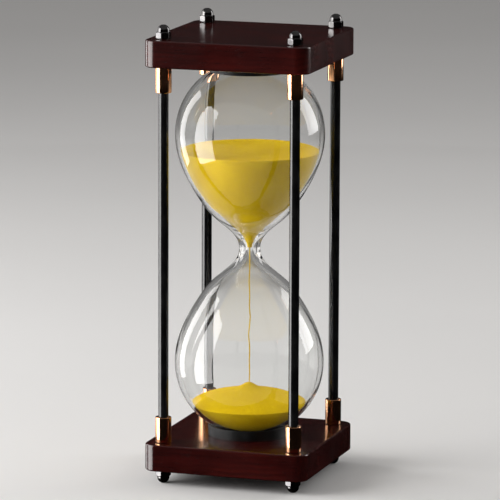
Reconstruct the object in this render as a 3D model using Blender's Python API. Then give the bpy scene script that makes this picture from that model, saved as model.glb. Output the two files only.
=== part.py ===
"""An hourglass: two glass bulbs joined at a narrow neck, held between two square wood
plates by four black rods, with brass ferrules at the rods' ends and acorn nuts outside.

Metres, +Z up. The origin is on the surface that the feet stand on, under the middle of the
base plate. The front is -Y. Pieces that touch are GAP apart."""

import math

import bmesh
import bpy
from mathutils import Vector
from mathutils.geometry import interpolate_bezier

GAP = 0.0003

# Frame
ROD_PITCH = 0.080  # between the rods' axes, along X and along Y
EDGE_INSET = 0.010  # from a rod's axis to the plate's edge
PLATE_THICKNESS = 0.016
PLATE_CORNER_RADIUS = 0.008
PLATE_EDGE_RADIUS = 0.001
CLEAR_HEIGHT = 0.223  # between the plates
RECESS_DEPTH = 0.0025  # of each seat ring's pocket in its plate

# Rods, ferrules and nuts
ROD_RADIUS = 0.003
STUD_RADIUS = 0.0025  # the rod's end, turned down to pass through the plate
STUD_IN_NUT = 0.005  # how far the stud reaches into its nut
FERRULE_WALL = 0.00145
FERRULE_LENGTH = 0.015
FERRULE_CHAMFER = 0.0003
NUT_ACROSS_FLATS = 0.008
NUT_HEX_HEIGHT = 0.0038
NUT_HEIGHT = 0.008
NUT_DOME_RADIUS = 0.0036
NUT_TIP_RADIUS = 0.0012  # the small flat on top of the dome
BORE_BEYOND_STUD = 0.0005

# Glass. Heights run from the neck, outwards along each bulb
GLASS_TO_ROD = 0.0095  # between the widest part of a bulb and each rod
GLASS_WALL = 0.002  # at the widest part and beyond it
FLARE_WALL = 0.0022  # halfway up the flare, as the glass thickens towards the neck
END_WALL = 0.0025
NECK_RADIUS = 0.0062
ORIFICE_RADIUS = 0.0015
FLARE_HEIGHT = 0.026
FLARE_INSET = 0.0166  # how much narrower the bulb is there than at its widest
FLARE_SLOPE = math.radians(56)  # of the outside there, up from the horizontal
INNER_FLARE_SLOPE = math.radians(54)
NECK_PULL = 0.011  # how far the neck, the flare and the widest part hold their direction
FLARE_PULL = 0.0145
WIDEST_PULL = 0.0155
SHOULDER_HEIGHT = 0.0432  # from the widest part to the flat end
END_RADIUS = 0.0085
FILL_HOLE_RADIUS = 0.0042

# Seat rings and stopper
RING_RADIUS = 0.0243
RING_BORE_RADIUS = 0.012
RING_LIP = 0.0007  # its rim's width, where its outside ends near the glass
STOPPER_FLANGE = 0.0025  # how much wider its head is than the fill hole
STOPPER_REACH = 0.0005  # how far it stands into the bulb

# Sand
SAND_LEVEL = 0.0586  # the rim of the upper sand, above the neck
SAND_DIP = 0.003  # its middle, below the rim
SAND_FOOT = 0.001  # its lower end, above the neck
STREAM_RADIUS = 0.00065
HEAP_RIM = 0.0163  # the rim of the lower sand, above the glass it lies on
HEAP_CONE = 0.0078  # the rise of the heap's long slope
HEAP_TIP = 0.0021  # the rise of its rounded tip
HEAP_TIP_RADIUS = 0.005
HEAP_SKIRT = 0.002  # the steeper fall near the glass

# Facets
ROUND_STEPS = 32  # round the bulbs and what fits them
SMALL_STEPS = 16  # round the rods and ferrules
NUT_STEPS = 12
CURVE_STEPS = 5  # along each curve of the bulb's outline
SURFACE_STEPS = 7  # across the top of the sand

RADIUS, HEIGHT = 0, 1  # the two coordinates of an outline's point

rod_offset = ROD_PITCH / 2
plate_side = ROD_PITCH + 2 * EDGE_INSET
bulb_radius = rod_offset * math.sqrt(2) - ROD_RADIUS - GLASS_TO_ROD
base_bottom = NUT_HEIGHT + GAP
base_top = base_bottom + PLATE_THICKNESS
top_bottom = base_top + CLEAR_HEIGHT
top_top = top_bottom + PLATE_THICKNESS
neck = (base_top + top_bottom) / 2
glass_end = CLEAR_HEIGHT / 2 - GAP
glass_floor = glass_end - END_WALL
widest_height = glass_end - SHOULDER_HEIGHT
corners = {
    "front_left": (-rod_offset, -rod_offset),
    "front_right": (rod_offset, -rod_offset),
    "rear_left": (-rod_offset, rod_offset),
    "rear_right": (rod_offset, rod_offset),
}


def clear_scene():
    for old in list(bpy.data.objects):
        bpy.data.objects.remove(old, do_unlink=True)


def finish(name, colour, roughness, metallic=0.0, transmission=0.0):
    """A plain material in the piece's own colour."""
    material = bpy.data.materials.new(name)
    material.use_nodes = True
    shader = material.node_tree.nodes["Principled BSDF"]
    shader.inputs["Base Color"].default_value = (*colour, 1.0)
    shader.inputs["Roughness"].default_value = roughness
    shader.inputs["Metallic"].default_value = metallic
    shader.inputs["Transmission Weight"].default_value = transmission
    return material


def place(name, mesh, material, location=(0, 0, 0), upside_down=False):
    """Adds the mesh to the scene as one named piece."""
    piece = bpy.data.objects.new(name, mesh)
    piece.location = location
    piece.rotation_euler.x = math.pi if upside_down else 0
    if not mesh.materials:
        mesh.materials.append(material)
    bpy.context.collection.objects.link(piece)
    return piece


def mesh_of(name, bm):
    bmesh.ops.recalc_face_normals(bm, faces=bm.faces)
    mesh = bpy.data.meshes.new(name)
    bm.to_mesh(mesh)
    bm.free()
    mesh.shade_smooth()
    mesh.set_sharp_from_angle(angle=math.radians(35))
    return mesh


def turned(name, outline, steps=ROUND_STEPS):
    """A solid turned from a closed loop of (radius, height) points. A third number makes
    that ring a prism with so many sides, and the radius is then half its width across flats."""
    bm = bmesh.new()
    rings = []
    for radius, height, *sides in outline:
        if radius == 0:
            rings.append([bm.verts.new((0, 0, height))] * steps)
            continue
        ring = []
        for step in range(steps):
            angle = math.tau * step / steps
            reach = radius
            if sides:
                wedge = math.tau / sides[0]
                reach /= math.cos((angle + wedge / 2) % wedge - wedge / 2)
            ring.append(bm.verts.new((reach * math.cos(angle), reach * math.sin(angle), height)))
        rings.append(ring)
    for lower, upper in zip(rings, rings[1:] + rings[:1]):
        for step in range(steps):
            after = (step + 1) % steps
            face = [lower[step], lower[after], upper[after], upper[step]]
            face = list(dict.fromkeys(face))
            if len(face) > 2:
                bm.faces.new(face)
    return mesh_of(name, bm)


def curve(start, start_handle, end_handle, end):
    return interpolate_bezier(start, start_handle, end_handle, end, CURVE_STEPS + 1)


def bulb_line(neck_radius, slope, wall, flare_wall, flat_height):
    """Half the outline of the glass as (radius, height) points, from the neck to where the
    bulb's end is flat: two curves out to the widest part, then an ellipse."""
    up = Vector((0, 1))
    along = Vector((math.cos(slope), math.sin(slope)))
    inwards = Vector((-math.sin(FLARE_SLOPE), math.cos(FLARE_SLOPE)))
    start = Vector((neck_radius, 0))
    flare = Vector((bulb_radius - FLARE_INSET, FLARE_HEIGHT)) + flare_wall * inwards
    widest = Vector((bulb_radius - wall, widest_height))
    throat = curve(start, start + NECK_PULL * up, flare - FLARE_PULL * along, flare)
    flank = curve(flare, flare + FLARE_PULL * along, widest - WIDEST_PULL * up, widest)
    depth = SHOULDER_HEIGHT / math.sqrt(1 - (END_RADIUS / bulb_radius) ** 2) - wall
    last_angle = math.asin((flat_height - widest_height) / depth)
    shoulder = []
    for step in range(1, 2 * CURVE_STEPS):
        angle = last_angle * step / (2 * CURVE_STEPS - 1)
        rise = Vector((widest.x * math.cos(angle), depth * math.sin(angle)))
        shoulder.append(rise + widest_height * up)
    return throat[:-1] + flank + shoulder


def shifted(line, distance):
    """The outline moved sideways, away from the axis where the distance is positive."""
    moved = []
    for before, point, after in zip(line[:1] + line, line, line[1:] + line[-1:]):
        along = (after - before).normalized()
        moved.append(point + distance * Vector((along.y, -along.x)))
    return moved


def split(line, axis, value):
    """Both parts of an outline, ending and starting right where one coordinate passes a value."""
    for index, (point, after) in enumerate(zip(line, line[1:])):
        if min(point[axis], after[axis]) <= value < max(point[axis], after[axis]):
            share = (value - point[axis]) / (after[axis] - point[axis])
            crossing = point.lerp(after, share)
            return line[: index + 1] + [crossing], [crossing] + line[index + 1 :]
    raise ValueError("the outline doesn't reach that value")


outside = bulb_line(NECK_RADIUS, FLARE_SLOPE, 0, 0, glass_end)
inside = bulb_line(ORIFICE_RADIUS, INNER_FLARE_SLOPE, GLASS_WALL, FLARE_WALL, glass_floor)
sand_limit = shifted(inside, -GAP)


def rounded_square(name, half_side, corner_radius, height):
    """A flat plate with rounded corners, from z = 0 up."""
    corner_steps = 6
    bm = bmesh.new()
    outline = []
    for quarter in range(4):
        for step in range(corner_steps + 1):
            angle = math.radians(90) * (quarter + step / corner_steps)
            middle = math.radians(45 + 90 * quarter)
            centre = (half_side - corner_radius) * math.sqrt(2)
            x = centre * math.cos(middle) + corner_radius * math.cos(angle)
            y = centre * math.sin(middle) + corner_radius * math.sin(angle)
            outline.append(bm.verts.new((x, y, 0)))
    floor = bm.faces.new(outline)
    sides = bmesh.ops.extrude_face_region(bm, geom=[floor])
    top = [item for item in sides["geom"] if isinstance(item, bmesh.types.BMVert)]
    bmesh.ops.translate(bm, verts=top, vec=(0, 0, height))
    return mesh_of(name, bm)


def cut(piece, name, radius, location, depth, steps):
    """Takes an upright round hole, centred on the location, out of the piece."""
    outline = [(0, -depth / 2), (radius, -depth / 2), (radius, depth / 2), (0, depth / 2)]
    cutter = place(name, turned(name, outline, steps), None, location)
    cutter.hide_render = True
    cutter.display_type = "WIRE"
    boolean = piece.modifiers.new(name, "BOOLEAN")
    boolean.operation = "DIFFERENCE"
    boolean.object = cutter


def make_plates(material):
    """Two lacquered wood plates, each with four stud holes and a pocket for its seat ring."""
    faces = {"base_plate": (base_bottom, base_top), "top_plate": (top_bottom, top_bottom)}
    for name, (bottom, pocket_face) in faces.items():
        mesh = rounded_square(name, plate_side / 2, PLATE_CORNER_RADIUS, PLATE_THICKNESS)
        plate = place(name, mesh, material, (0, 0, bottom))
        bevel = plate.modifiers.new("edges", "BEVEL")
        bevel.width = PLATE_EDGE_RADIUS
        bevel.segments = 2
        bevel.limit_method = "ANGLE"
        bevel.angle_limit = math.radians(40)
        pocket = (0, 0, pocket_face)
        cut(plate, name + "_pocket", RING_RADIUS + GAP, pocket, 2 * RECESS_DEPTH, ROUND_STEPS)
        for corner, (x, y) in corners.items():
            middle = (x, y, bottom + PLATE_THICKNESS / 2)
            hole = f"{name}_hole_{corner}"
            cut(plate, hole, STUD_RADIUS + GAP, middle, 2 * PLATE_THICKNESS, SMALL_STEPS)


def make_rods(material):
    """Four rods between the plates, with a thinner stud at each end for the nuts."""
    shoulder = CLEAR_HEIGHT / 2 - GAP
    tip = CLEAR_HEIGHT / 2 + PLATE_THICKNESS + GAP + STUD_IN_NUT
    half = [(ROD_RADIUS, shoulder), (STUD_RADIUS, shoulder), (STUD_RADIUS, tip), (0, tip)]
    outline = half + [(radius, -height) for radius, height in reversed(half)]
    mesh = turned("rod", outline, SMALL_STEPS)
    for corner, (x, y) in corners.items():
        place(f"rod_{corner}", mesh, material, (x, y, neck))


def make_ferrules(material):
    """A brass sleeve round each end of each rod, standing on its plate."""
    bore = ROD_RADIUS + GAP
    outer = bore + FERRULE_WALL
    top = GAP + FERRULE_LENGTH
    outline = [
        (bore, GAP),
        (outer, GAP),
        (outer, top - FERRULE_CHAMFER),
        (outer - FERRULE_CHAMFER, top),
        (bore, top),
    ]
    mesh = turned("ferrule", outline, SMALL_STEPS)
    for corner, (x, y) in corners.items():
        place(f"ferrule_lower_{corner}", mesh, material, (x, y, base_top))
        place(f"ferrule_upper_{corner}", mesh, material, (x, y, top_bottom), upside_down=True)


def make_nuts(material):
    """An acorn nut on each stud: four on top, and four below that are the feet."""
    dome_centre = NUT_HEIGHT - math.sqrt(NUT_DOME_RADIUS**2 - NUT_TIP_RADIUS**2)
    last_angle = math.acos(NUT_TIP_RADIUS / NUT_DOME_RADIUS)
    dome_steps = 4
    bore = STUD_RADIUS + GAP
    bore_end = STUD_IN_NUT + BORE_BEYOND_STUD
    outline = [(bore, 0), (NUT_ACROSS_FLATS / 2, 0, 6), (NUT_ACROSS_FLATS / 2, NUT_HEX_HEIGHT, 6)]
    outline.append((NUT_DOME_RADIUS, NUT_HEX_HEIGHT))
    for step in range(dome_steps + 1):
        angle = last_angle * step / dome_steps
        radius = NUT_DOME_RADIUS * math.cos(angle)
        outline.append((radius, dome_centre + NUT_DOME_RADIUS * math.sin(angle)))
    outline += [(0, NUT_HEIGHT), (0, bore_end), (bore, bore_end)]
    mesh = turned("acorn_nut", outline, NUT_STEPS)
    for corner, (x, y) in corners.items():
        place(f"top_nut_{corner}", mesh, material, (x, y, top_top + GAP))
        place(f"foot_nut_{corner}", mesh, material, (x, y, base_bottom - GAP), upside_down=True)


def make_glass(material):
    """Both bulbs and the neck, one piece of glass, open only at the fill hole below."""
    outline = [(FILL_HOLE_RADIUS, -glass_end)]
    outline += [(point.x, -point.y) for point in reversed(outside[1:])]
    outline += [(point.x, point.y) for point in outside]
    outline += [(0, glass_end), (0, glass_floor)]
    outline += [(point.x, point.y) for point in reversed(inside[1:])]
    outline += [(point.x, -point.y) for point in inside]
    outline += [(FILL_HOLE_RADIUS, -glass_floor)]
    place("glass_bulbs", turned("glass_bulbs", outline), material, (0, 0, neck))


def make_seat_rings(material):
    """A rubber ring in each plate's pocket. Its inside follows the glass that rests in it."""
    shoulder = split(shifted(outside, GAP), HEIGHT, widest_height)[1]
    seat = split(shoulder, RADIUS, RING_RADIUS - RING_LIP)[1]
    seat = split(seat, RADIUS, RING_BORE_RADIUS)[0]
    back = CLEAR_HEIGHT / 2 + RECESS_DEPTH - GAP
    outline = [(RING_RADIUS, back), (RING_RADIUS, seat[0].y)]
    outline += [(point.x, point.y) for point in seat]
    outline.append((RING_BORE_RADIUS, back))
    mesh = turned("seat_ring", outline)
    place("seat_ring_upper", mesh, material, (0, 0, neck))
    place("seat_ring_lower", mesh, material, (0, 0, neck), upside_down=True)


def make_stopper(material):
    """The plug of the fill hole, with a head below the glass."""
    shank = FILL_HOLE_RADIUS - GAP
    head = FILL_HOLE_RADIUS + STOPPER_FLANGE
    head_top = base_top
    head_bottom = base_top - RECESS_DEPTH + GAP
    tip = neck - glass_floor + STOPPER_REACH
    outline = [
        (0, head_bottom),
        (head, head_bottom),
        (head, head_top),
        (shank, head_top),
        (shank, tip),
        (0, tip),
    ]
    place("stopper", turned("stopper", outline, SMALL_STEPS), material)


def sand_surface(rim, height_at):
    """Points from just inside the rim to the axis, closer together towards the middle."""
    points = []
    for step in range(SURFACE_STEPS - 1, -1, -1):
        share = (step / SURFACE_STEPS) ** 1.5
        points.append((share * rim, height_at(share)))
    return points


def make_sand(material):
    """The sand still to fall, the thin stream through the neck, and the heap below."""
    walls = split(split(sand_limit, HEIGHT, SAND_FOOT)[1], HEIGHT, SAND_LEVEL)[0]
    outline = [(0, SAND_FOOT)] + [(point.x, point.y) for point in walls]
    outline += sand_surface(walls[-1].x, lambda share: SAND_LEVEL - SAND_DIP * (1 - share**2))
    place("sand_upper", turned("sand_upper", outline), material, (0, 0, neck))

    bed = glass_floor - STOPPER_REACH - GAP
    rim_height = glass_floor - HEAP_RIM
    walls = split(split(sand_limit, HEIGHT, rim_height)[1], HEIGHT, bed)[0]
    rim = walls[0].x

    def heap_height(share):
        tip = HEAP_TIP * math.exp(-((share * rim / HEAP_TIP_RADIUS) ** 2))
        return HEAP_CONE * (1 - share) + tip + HEAP_SKIRT * (1 - share**6) - rim_height

    outline = [(0, -bed)] + [(point.x, -point.y) for point in reversed(walls)]
    outline += sand_surface(rim, heap_height)
    place("sand_heap", turned("sand_heap", outline), material, (0, 0, neck))

    top = SAND_FOOT - GAP
    bottom = heap_height(0) + GAP
    outline = [(0, bottom), (STREAM_RADIUS, bottom), (STREAM_RADIUS, top), (0, top)]
    stream = turned("sand_stream", outline, NUT_STEPS)
    place("sand_stream", stream, material, (0, 0, neck))


clear_scene()
make_plates(finish("mahogany_lacquer", (0.11, 0.012, 0.01), 0.25))
make_rods(finish("black_steel", (0.006, 0.006, 0.007), 0.25, metallic=0.6))
make_ferrules(finish("rose_brass", (0.75, 0.42, 0.20), 0.18, metallic=1.0))
make_nuts(finish("black_nickel", (0.10, 0.10, 0.105), 0.12, metallic=1.0))
make_glass(finish("clear_glass", (1.0, 1.0, 1.0), 0.0, transmission=1.0))
make_seat_rings(finish("black_rubber", (0.012, 0.012, 0.012), 0.6))
make_stopper(finish("grey_rubber", (0.15, 0.15, 0.15), 0.6))
make_sand(finish("yellow_sand", (0.85, 0.62, 0.02), 0.95))
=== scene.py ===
"""The looks of the hourglass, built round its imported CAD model.

One glass with two bulbs stands between two lacquered wood plates. Four black rods with brass
ferrules hold the plates apart, and acorn nuts hold them together. Metres, +Z up, front at -Y."""

import math

import bmesh
import bpy
from mathutils import Matrix, Quaternion, Vector, noise
from mathutils.geometry import interpolate_bezier


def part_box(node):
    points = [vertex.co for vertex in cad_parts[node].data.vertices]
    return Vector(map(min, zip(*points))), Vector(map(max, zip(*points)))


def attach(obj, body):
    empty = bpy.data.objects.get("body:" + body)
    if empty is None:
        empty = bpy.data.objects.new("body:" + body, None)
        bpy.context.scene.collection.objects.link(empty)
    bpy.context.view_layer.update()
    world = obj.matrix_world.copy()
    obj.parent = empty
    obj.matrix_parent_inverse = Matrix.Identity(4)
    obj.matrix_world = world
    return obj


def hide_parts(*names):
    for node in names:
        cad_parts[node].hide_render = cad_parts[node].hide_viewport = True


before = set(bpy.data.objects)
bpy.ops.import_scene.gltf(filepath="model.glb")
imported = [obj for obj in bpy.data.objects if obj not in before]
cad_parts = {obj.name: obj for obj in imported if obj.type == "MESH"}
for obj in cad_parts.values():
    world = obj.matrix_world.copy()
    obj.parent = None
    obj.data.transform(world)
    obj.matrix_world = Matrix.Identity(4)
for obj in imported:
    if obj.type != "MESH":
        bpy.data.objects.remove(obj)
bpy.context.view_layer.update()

# ---- Camera --------------------------------------------------------------------------------
# A long lens from a little above, and from the right of the object's front.
CAMERA_AZIMUTH = math.radians(17.87)  # from straight in front, towards +X
CAMERA_ELEVATION = math.radians(10.36)
CAMERA_DISTANCE = 2.683
CAMERA_AIM = Vector((0.0002, 0, 0.1346))
CAMERA_LENS = 327.7
CAMERA_ROLL = math.radians(0.22)


def direction(azimuth, elevation):
    """The way to a place seen from the object, with azimuth 0 in front and 90 at its right."""
    flat = math.cos(elevation)
    return Vector((math.sin(azimuth) * flat, -math.cos(azimuth) * flat, math.sin(elevation)))


def new_object(name, data):
    """An object made of the data and put in the scene."""
    made = bpy.data.objects.new(name, data)
    bpy.context.collection.objects.link(made)
    return made


lens = bpy.data.cameras.new("camera")
lens.lens = CAMERA_LENS
camera = new_object("camera", lens)
to_camera = direction(CAMERA_AZIMUTH, CAMERA_ELEVATION)
camera.location = CAMERA_AIM + CAMERA_DISTANCE * to_camera
camera.rotation_mode = "QUATERNION"
turn_to_aim = (-to_camera).to_track_quat("-Z", "Y")
camera.rotation_quaternion = turn_to_aim @ Quaternion((0, 0, 1), CAMERA_ROLL)
bpy.context.scene.camera = camera
bpy.context.scene.view_settings.view_transform = "Standard"

# ---- Light and floor -----------------------------------------------------------------------
# A large soft box at the left, a narrow one behind it, a smaller one at the right and a little
# behind, and weak even light from all round. The floor is plain, pale and matt. Bright panels
# and dark cloth are what lacquer, brass and glass reflect, and nothing else sees them.
LIGHT_BOUNCES = 32  # inside the thick glass of the neck, light is reflected again and again
FLOOR_SIZE = 14.0
FLOOR_COLOUR = (0.86, 0.845, 0.83, 1)
FLOOR_SHADE = (0.82, 0.805, 0.79, 1)
AROUND_COLOUR = (1.0, 0.99, 0.98, 1)
AROUND_STRENGTH = 0.25
LEFT = -62  # the azimuths of the soft boxes, in degrees
BEHIND_LEFT = -108
RIGHT = 131
CLOUD_SIZE = 0.25  # of the floor's faint clouds
FOLD_SHADING_SIZE = 0.2  # of the painted light and shade of the cloth's folds
CLOTH_RADIUS = 1.25
CLOTH_BOTTOM = -0.5
CLOTH_TOP = 0.9
CLOTH_COLOUR = (0.006, 0.003, 0.003, 1)
CLOTH_FOLD_LIGHT = (0.012, 0.006, 0.006, 1)


def add_node(tree, kind, inputs=None, **settings):
    """Adds a node. Each of the inputs is given a value, or another node's output."""
    made = tree.nodes.new(kind)
    for name, value in settings.items():
        setattr(made, name, value)
    for name, value in (inputs or {}).items():
        if isinstance(value, bpy.types.NodeSocket):
            tree.links.new(value, made.inputs[name])
        else:
            made.inputs[name].default_value = value
    return made


def mixed(tree, share, first, second):
    """A colour between two others."""
    inputs = {0: share, 6: first, 7: second}
    return add_node(tree, "ShaderNodeMix", inputs, data_type="RGBA").outputs[2]


def spread(tree, value, low, high, to_low=0.0, to_high=1.0):
    """The value, with low..high stretched to to_low..to_high and held there at the ends."""
    inputs = {0: value, 1: low, 2: high, 3: to_low, 4: to_high}
    return add_node(tree, "ShaderNodeMapRange", inputs).outputs[0]


def sum_of(tree, first, second, operation="ADD"):
    """One number made of two: their sum, or what another operation makes of them."""
    inputs = {0: first, 1: second}
    return add_node(tree, "ShaderNodeMath", inputs, operation=operation).outputs[0]


def noise_at(tree, where, size, detail=2.0, stretch=(1, 1, 1), turn=(0, 0, 0)):
    """Noise whose features are about the given size across, times the stretch along each axis."""
    scale = [1 / (size * share) for share in stretch]
    mapping = {"Vector": where, "Scale": scale, "Rotation": turn}
    placed = add_node(tree, "ShaderNodeMapping", mapping).outputs[0]
    inputs = {"Vector": placed, "Scale": 1.0, "Detail": detail}
    return add_node(tree, "ShaderNodeTexNoise", inputs).outputs[0]


def new_material(name, **values):
    """A material with one Principled shader, whose plain values are given by their sockets' names.
    Returns the material, its node tree, the shader and the Object coordinates."""
    material = bpy.data.materials.new(name)
    material.use_nodes = True
    tree = material.node_tree
    shader = tree.nodes["Principled BSDF"]
    for socket, value in values.items():
        shader.inputs[socket.replace("_", " ")].default_value = value
    where = add_node(tree, "ShaderNodeTexCoord").outputs["Object"]
    return material, tree, shader, where


def soft_box(name, azimuth, distance, width, bottom, top, power):
    """An upright soft box facing the object. It gives light, but gloss and glass don't show it."""
    lamp = bpy.data.lights.new(name, "AREA")
    lamp.shape = "RECTANGLE"
    lamp.size = width
    lamp.size_y = top - bottom
    lamp.energy = power
    box = new_object(name, lamp)
    towards = direction(math.radians(azimuth), 0)
    box.location = distance * towards + Vector((0, 0, (bottom + top) / 2))
    box.rotation_euler = (-towards).to_track_quat("-Z", "Y").to_euler()
    box.visible_camera = False
    box.visible_transmission = False
    box.visible_glossy = False


def show_only_in_gloss(piece):
    """Hides a piece from everything but gloss that mirrors it."""
    piece.visible_camera = False
    piece.visible_diffuse = False
    piece.visible_transmission = False
    piece.visible_shadow = False


def bright_panel(name, azimuth, distance, width, bottom, top, strength):
    """A soft box as gloss mirrors it. It lights nothing, so it can reach below the floor."""
    across = width / 2 * direction(math.radians(azimuth + 90), 0)
    middle = distance * direction(math.radians(azimuth), 0)
    outline = []
    for side, height in ((-1, bottom), (1, bottom), (1, top), (-1, top)):
        outline.append(middle + side * across + Vector((0, 0, height)))
    mesh = bpy.data.meshes.new(name)
    mesh.from_pydata(outline, [], [(0, 1, 2, 3)])
    shining = new_material(name, Emission_Color=AROUND_COLOUR, Emission_Strength=strength)[0]
    mesh.materials.append(shining)
    panel = new_object(name, mesh)
    show_only_in_gloss(panel)


soft_box("soft_box_left", LEFT, distance=1.35, width=1.20, bottom=0.30, top=1.35, power=28)
soft_box("soft_box_behind_left", BEHIND_LEFT, distance=1.35, width=0.50, bottom=0.30, top=1.35, power=5)
soft_box("soft_box_right", RIGHT, distance=1.35, width=0.70, bottom=0.30, top=1.35, power=8)
bright_panel("panel_left", LEFT, distance=1.00, width=0.78, bottom=-0.40, top=0.92, strength=8.0)
bright_panel(
    "panel_behind_left", BEHIND_LEFT, distance=1.10, width=0.30, bottom=-0.30, top=0.90, strength=4.2
)
bright_panel("panel_right", RIGHT, distance=1.10, width=0.55, bottom=0.15, top=0.95, strength=4.2)

light_paths = bpy.context.scene.cycles
light_paths.max_bounces = LIGHT_BOUNCES
light_paths.glossy_bounces = LIGHT_BOUNCES
light_paths.transmission_bounces = LIGHT_BOUNCES

around = bpy.data.worlds.new("studio")
around.use_nodes = True
background = around.node_tree.nodes["Background"]
background.inputs["Color"].default_value = AROUND_COLOUR
background.inputs["Strength"].default_value = AROUND_STRENGTH
bpy.context.scene.world = around

floor_mesh = bpy.data.meshes.new("floor")
floor_bm = bmesh.new()
bmesh.ops.create_grid(floor_bm, x_segments=1, y_segments=1, size=FLOOR_SIZE / 2)
floor_bm.to_mesh(floor_mesh)
floor_bm.free()
floor = new_object("floor", floor_mesh)
pale, tree, shader, where = new_material("pale_floor", Roughness=0.7)
clouds = noise_at(tree, where, CLOUD_SIZE)
tree.links.new(mixed(tree, clouds, FLOOR_COLOUR, FLOOR_SHADE), shader.inputs["Base Color"])
floor_mesh.materials.append(pale)
floor.visible_glossy = False

cloth_mesh = bpy.data.meshes.new("dark_cloth")
cloth_bm = bmesh.new()
bmesh.ops.create_circle(
    cloth_bm,
    cap_ends=True,
    segments=64,
    radius=CLOTH_RADIUS,
    matrix=Matrix.Translation((0, 0, CLOTH_BOTTOM)),
)
rim_edges = [edge for edge in cloth_bm.edges if edge.is_boundary]
wall = bmesh.ops.extrude_edge_only(cloth_bm, edges=rim_edges)["geom"]
wall_top = [item for item in wall if isinstance(item, bmesh.types.BMVert)]
bmesh.ops.translate(cloth_bm, verts=wall_top, vec=(0, 0, CLOTH_TOP - CLOTH_BOTTOM))
cloth_bm.to_mesh(cloth_mesh)
cloth_bm.free()
cloth = new_object("dark_cloth", cloth_mesh)
show_only_in_gloss(cloth)
dark, tree, shader, where = new_material("dark_cloth", Roughness=1.0)
# Painted light and shade: lighter upright streaks stand in for folds that the flat cloth doesn't have.
fold_light_and_shade = noise_at(tree, where, FOLD_SHADING_SIZE, 1.0, (1, 1, 9))
tree.links.new(mixed(tree, fold_light_and_shade, CLOTH_COLOUR, CLOTH_FOLD_LIGHT), shader.inputs["Base Color"])
cloth_mesh.materials.append(dark)

# ---- Plates --------------------------------------------------------------------------------
# The base plate and the top plate: solid hardwood, stained a deep mahogany red and sprayed with
# clear gloss lacquer. Each is drilled for the four studs and has a round pocket for its ring.
PLATE_CORNER_RADIUS = 0.008
PLATE_EDGE_RADIUS = 0.001
CORNER_STEPS = 20
EDGE_STEPS = 6
STUD_HOLE_RADIUS = 0.0028
POCKET_DEPTH = 0.0025
HOLE_STEPS = 40
POCKET_STEPS = 96
DRILL_BEYOND = 0.01  # how far a drill runs past the plate
FIT = 0.0003  # the clearance round what fits in a plate
RING_SPACING = 0.0034  # between the wood's growth rings
FIGURE_SIZE = 0.016  # of the brighter clouds in the wood, across the grain
STREAK_SIZE = 0.0011
PORE_SIZE = 0.00032
GRAIN_DEPTH = 0.00003
DARK_WOOD = (0.020, 0.0009, 0.0006, 1)
RED_WOOD = (0.034, 0.0015, 0.0010, 1)
BRIGHT_WOOD = (0.054, 0.0031, 0.0018, 1)
PORE_WOOD = (0.009, 0.0006, 0.0005, 1)
DUST_COLOUR = (0.30, 0.28, 0.26, 1)

base_low, base_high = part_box("base_plate")
top_low, top_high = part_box("top_plate")
neck_height = (base_high.z + top_low.z) / 2
clear_half = (top_low.z - base_high.z) / 2


def new_group(name, kind, inputs, outputs):
    """A node group with named inputs (kind of socket, value) and named outputs."""
    group = bpy.data.node_groups.new(name, kind)
    for label, (socket_type, value) in inputs.items():
        socket = group.interface.new_socket(label, in_out="INPUT", socket_type=socket_type)
        if value is not None:
            socket.default_value = value
    for label, socket_type in outputs.items():
        group.interface.new_socket(label, in_out="OUTPUT", socket_type=socket_type)
    return group


def make_handling_marks():
    """What every handled surface has: smudges, hairline scratches and a few specks of dust."""
    number = "NodeSocketFloat"
    group = new_group(
        "Handling Marks",
        "ShaderNodeTree",
        {
            "Vector": ("NodeSocketVector", None),
            "Smudge Size": (number, 0.012),
            "Speck Size": (number, 0.0012),
        },
        {"Smudges": number, "Scratches": number, "Dust": number},
    )
    given = group.nodes.new("NodeGroupInput").outputs
    result = group.nodes.new("NodeGroupOutput").inputs

    smudge_scale = sum_of(group, 1.0, given["Smudge Size"], "DIVIDE")
    soft = {"Vector": given["Vector"], "Scale": smudge_scale, "Detail": 3.0}
    smudges = add_node(group, "ShaderNodeTexNoise", soft).outputs[0]
    group.links.new(spread(group, smudges, 0.40, 0.68), result["Smudges"])

    hairlines = None
    for turn in ((0.4, 0.3, 0.7), (1.3, 0.8, 2.1)):
        lines = noise_at(group, given["Vector"], 0.00012, 1.0, (1, 70, 1), turn)
        lines = spread(group, lines, 0.70, 0.76)
        hairlines = lines if hairlines is None else sum_of(group, hairlines, lines, "MAXIMUM")
    group.links.new(hairlines, result["Scratches"])

    speck_scale = sum_of(group, 1.0, given["Speck Size"], "DIVIDE")
    cells = add_node(
        group, "ShaderNodeTexVoronoi", {"Vector": given["Vector"], "Scale": speck_scale}
    )
    near = spread(group, cells.outputs["Distance"], 0.05, 0.11, 1.0, 0.0)
    chosen = add_node(group, "ShaderNodeSeparateColor", {0: cells.outputs["Color"]}).outputs[0]
    rare = spread(group, chosen, 0.80, 0.82)
    group.links.new(sum_of(group, near, rare, "MULTIPLY"), result["Dust"])
    return group


handling_marks = make_handling_marks()


def marks_on(tree, where, smudge_size=0.012, speck_size=0.0012):
    """Places the handling marks in a material, in this surface's own sizes."""
    made = add_node(tree, "ShaderNodeGroup", node_tree=handling_marks)
    tree.links.new(where, made.inputs["Vector"])
    made.inputs["Smudge Size"].default_value = smudge_size
    made.inputs["Speck Size"].default_value = speck_size
    return made.outputs


def dusted(tree, colour, marks, cover):
    """The colour with pale specks of dust on it, which cover up to the given share of it."""
    return mixed(tree, sum_of(tree, marks["Dust"], cover, "MULTIPLY"), colour, DUST_COLOUR)


def bumped(tree, shader, height, distance, strength=1.0):
    """Feeds a height, at most the distance tall, to the shader as bump."""
    inputs = {"Height": height, "Distance": distance, "Strength": strength}
    bump = add_node(tree, "ShaderNodeBump", inputs)
    tree.links.new(bump.outputs[0], shader.inputs["Normal"])


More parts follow.
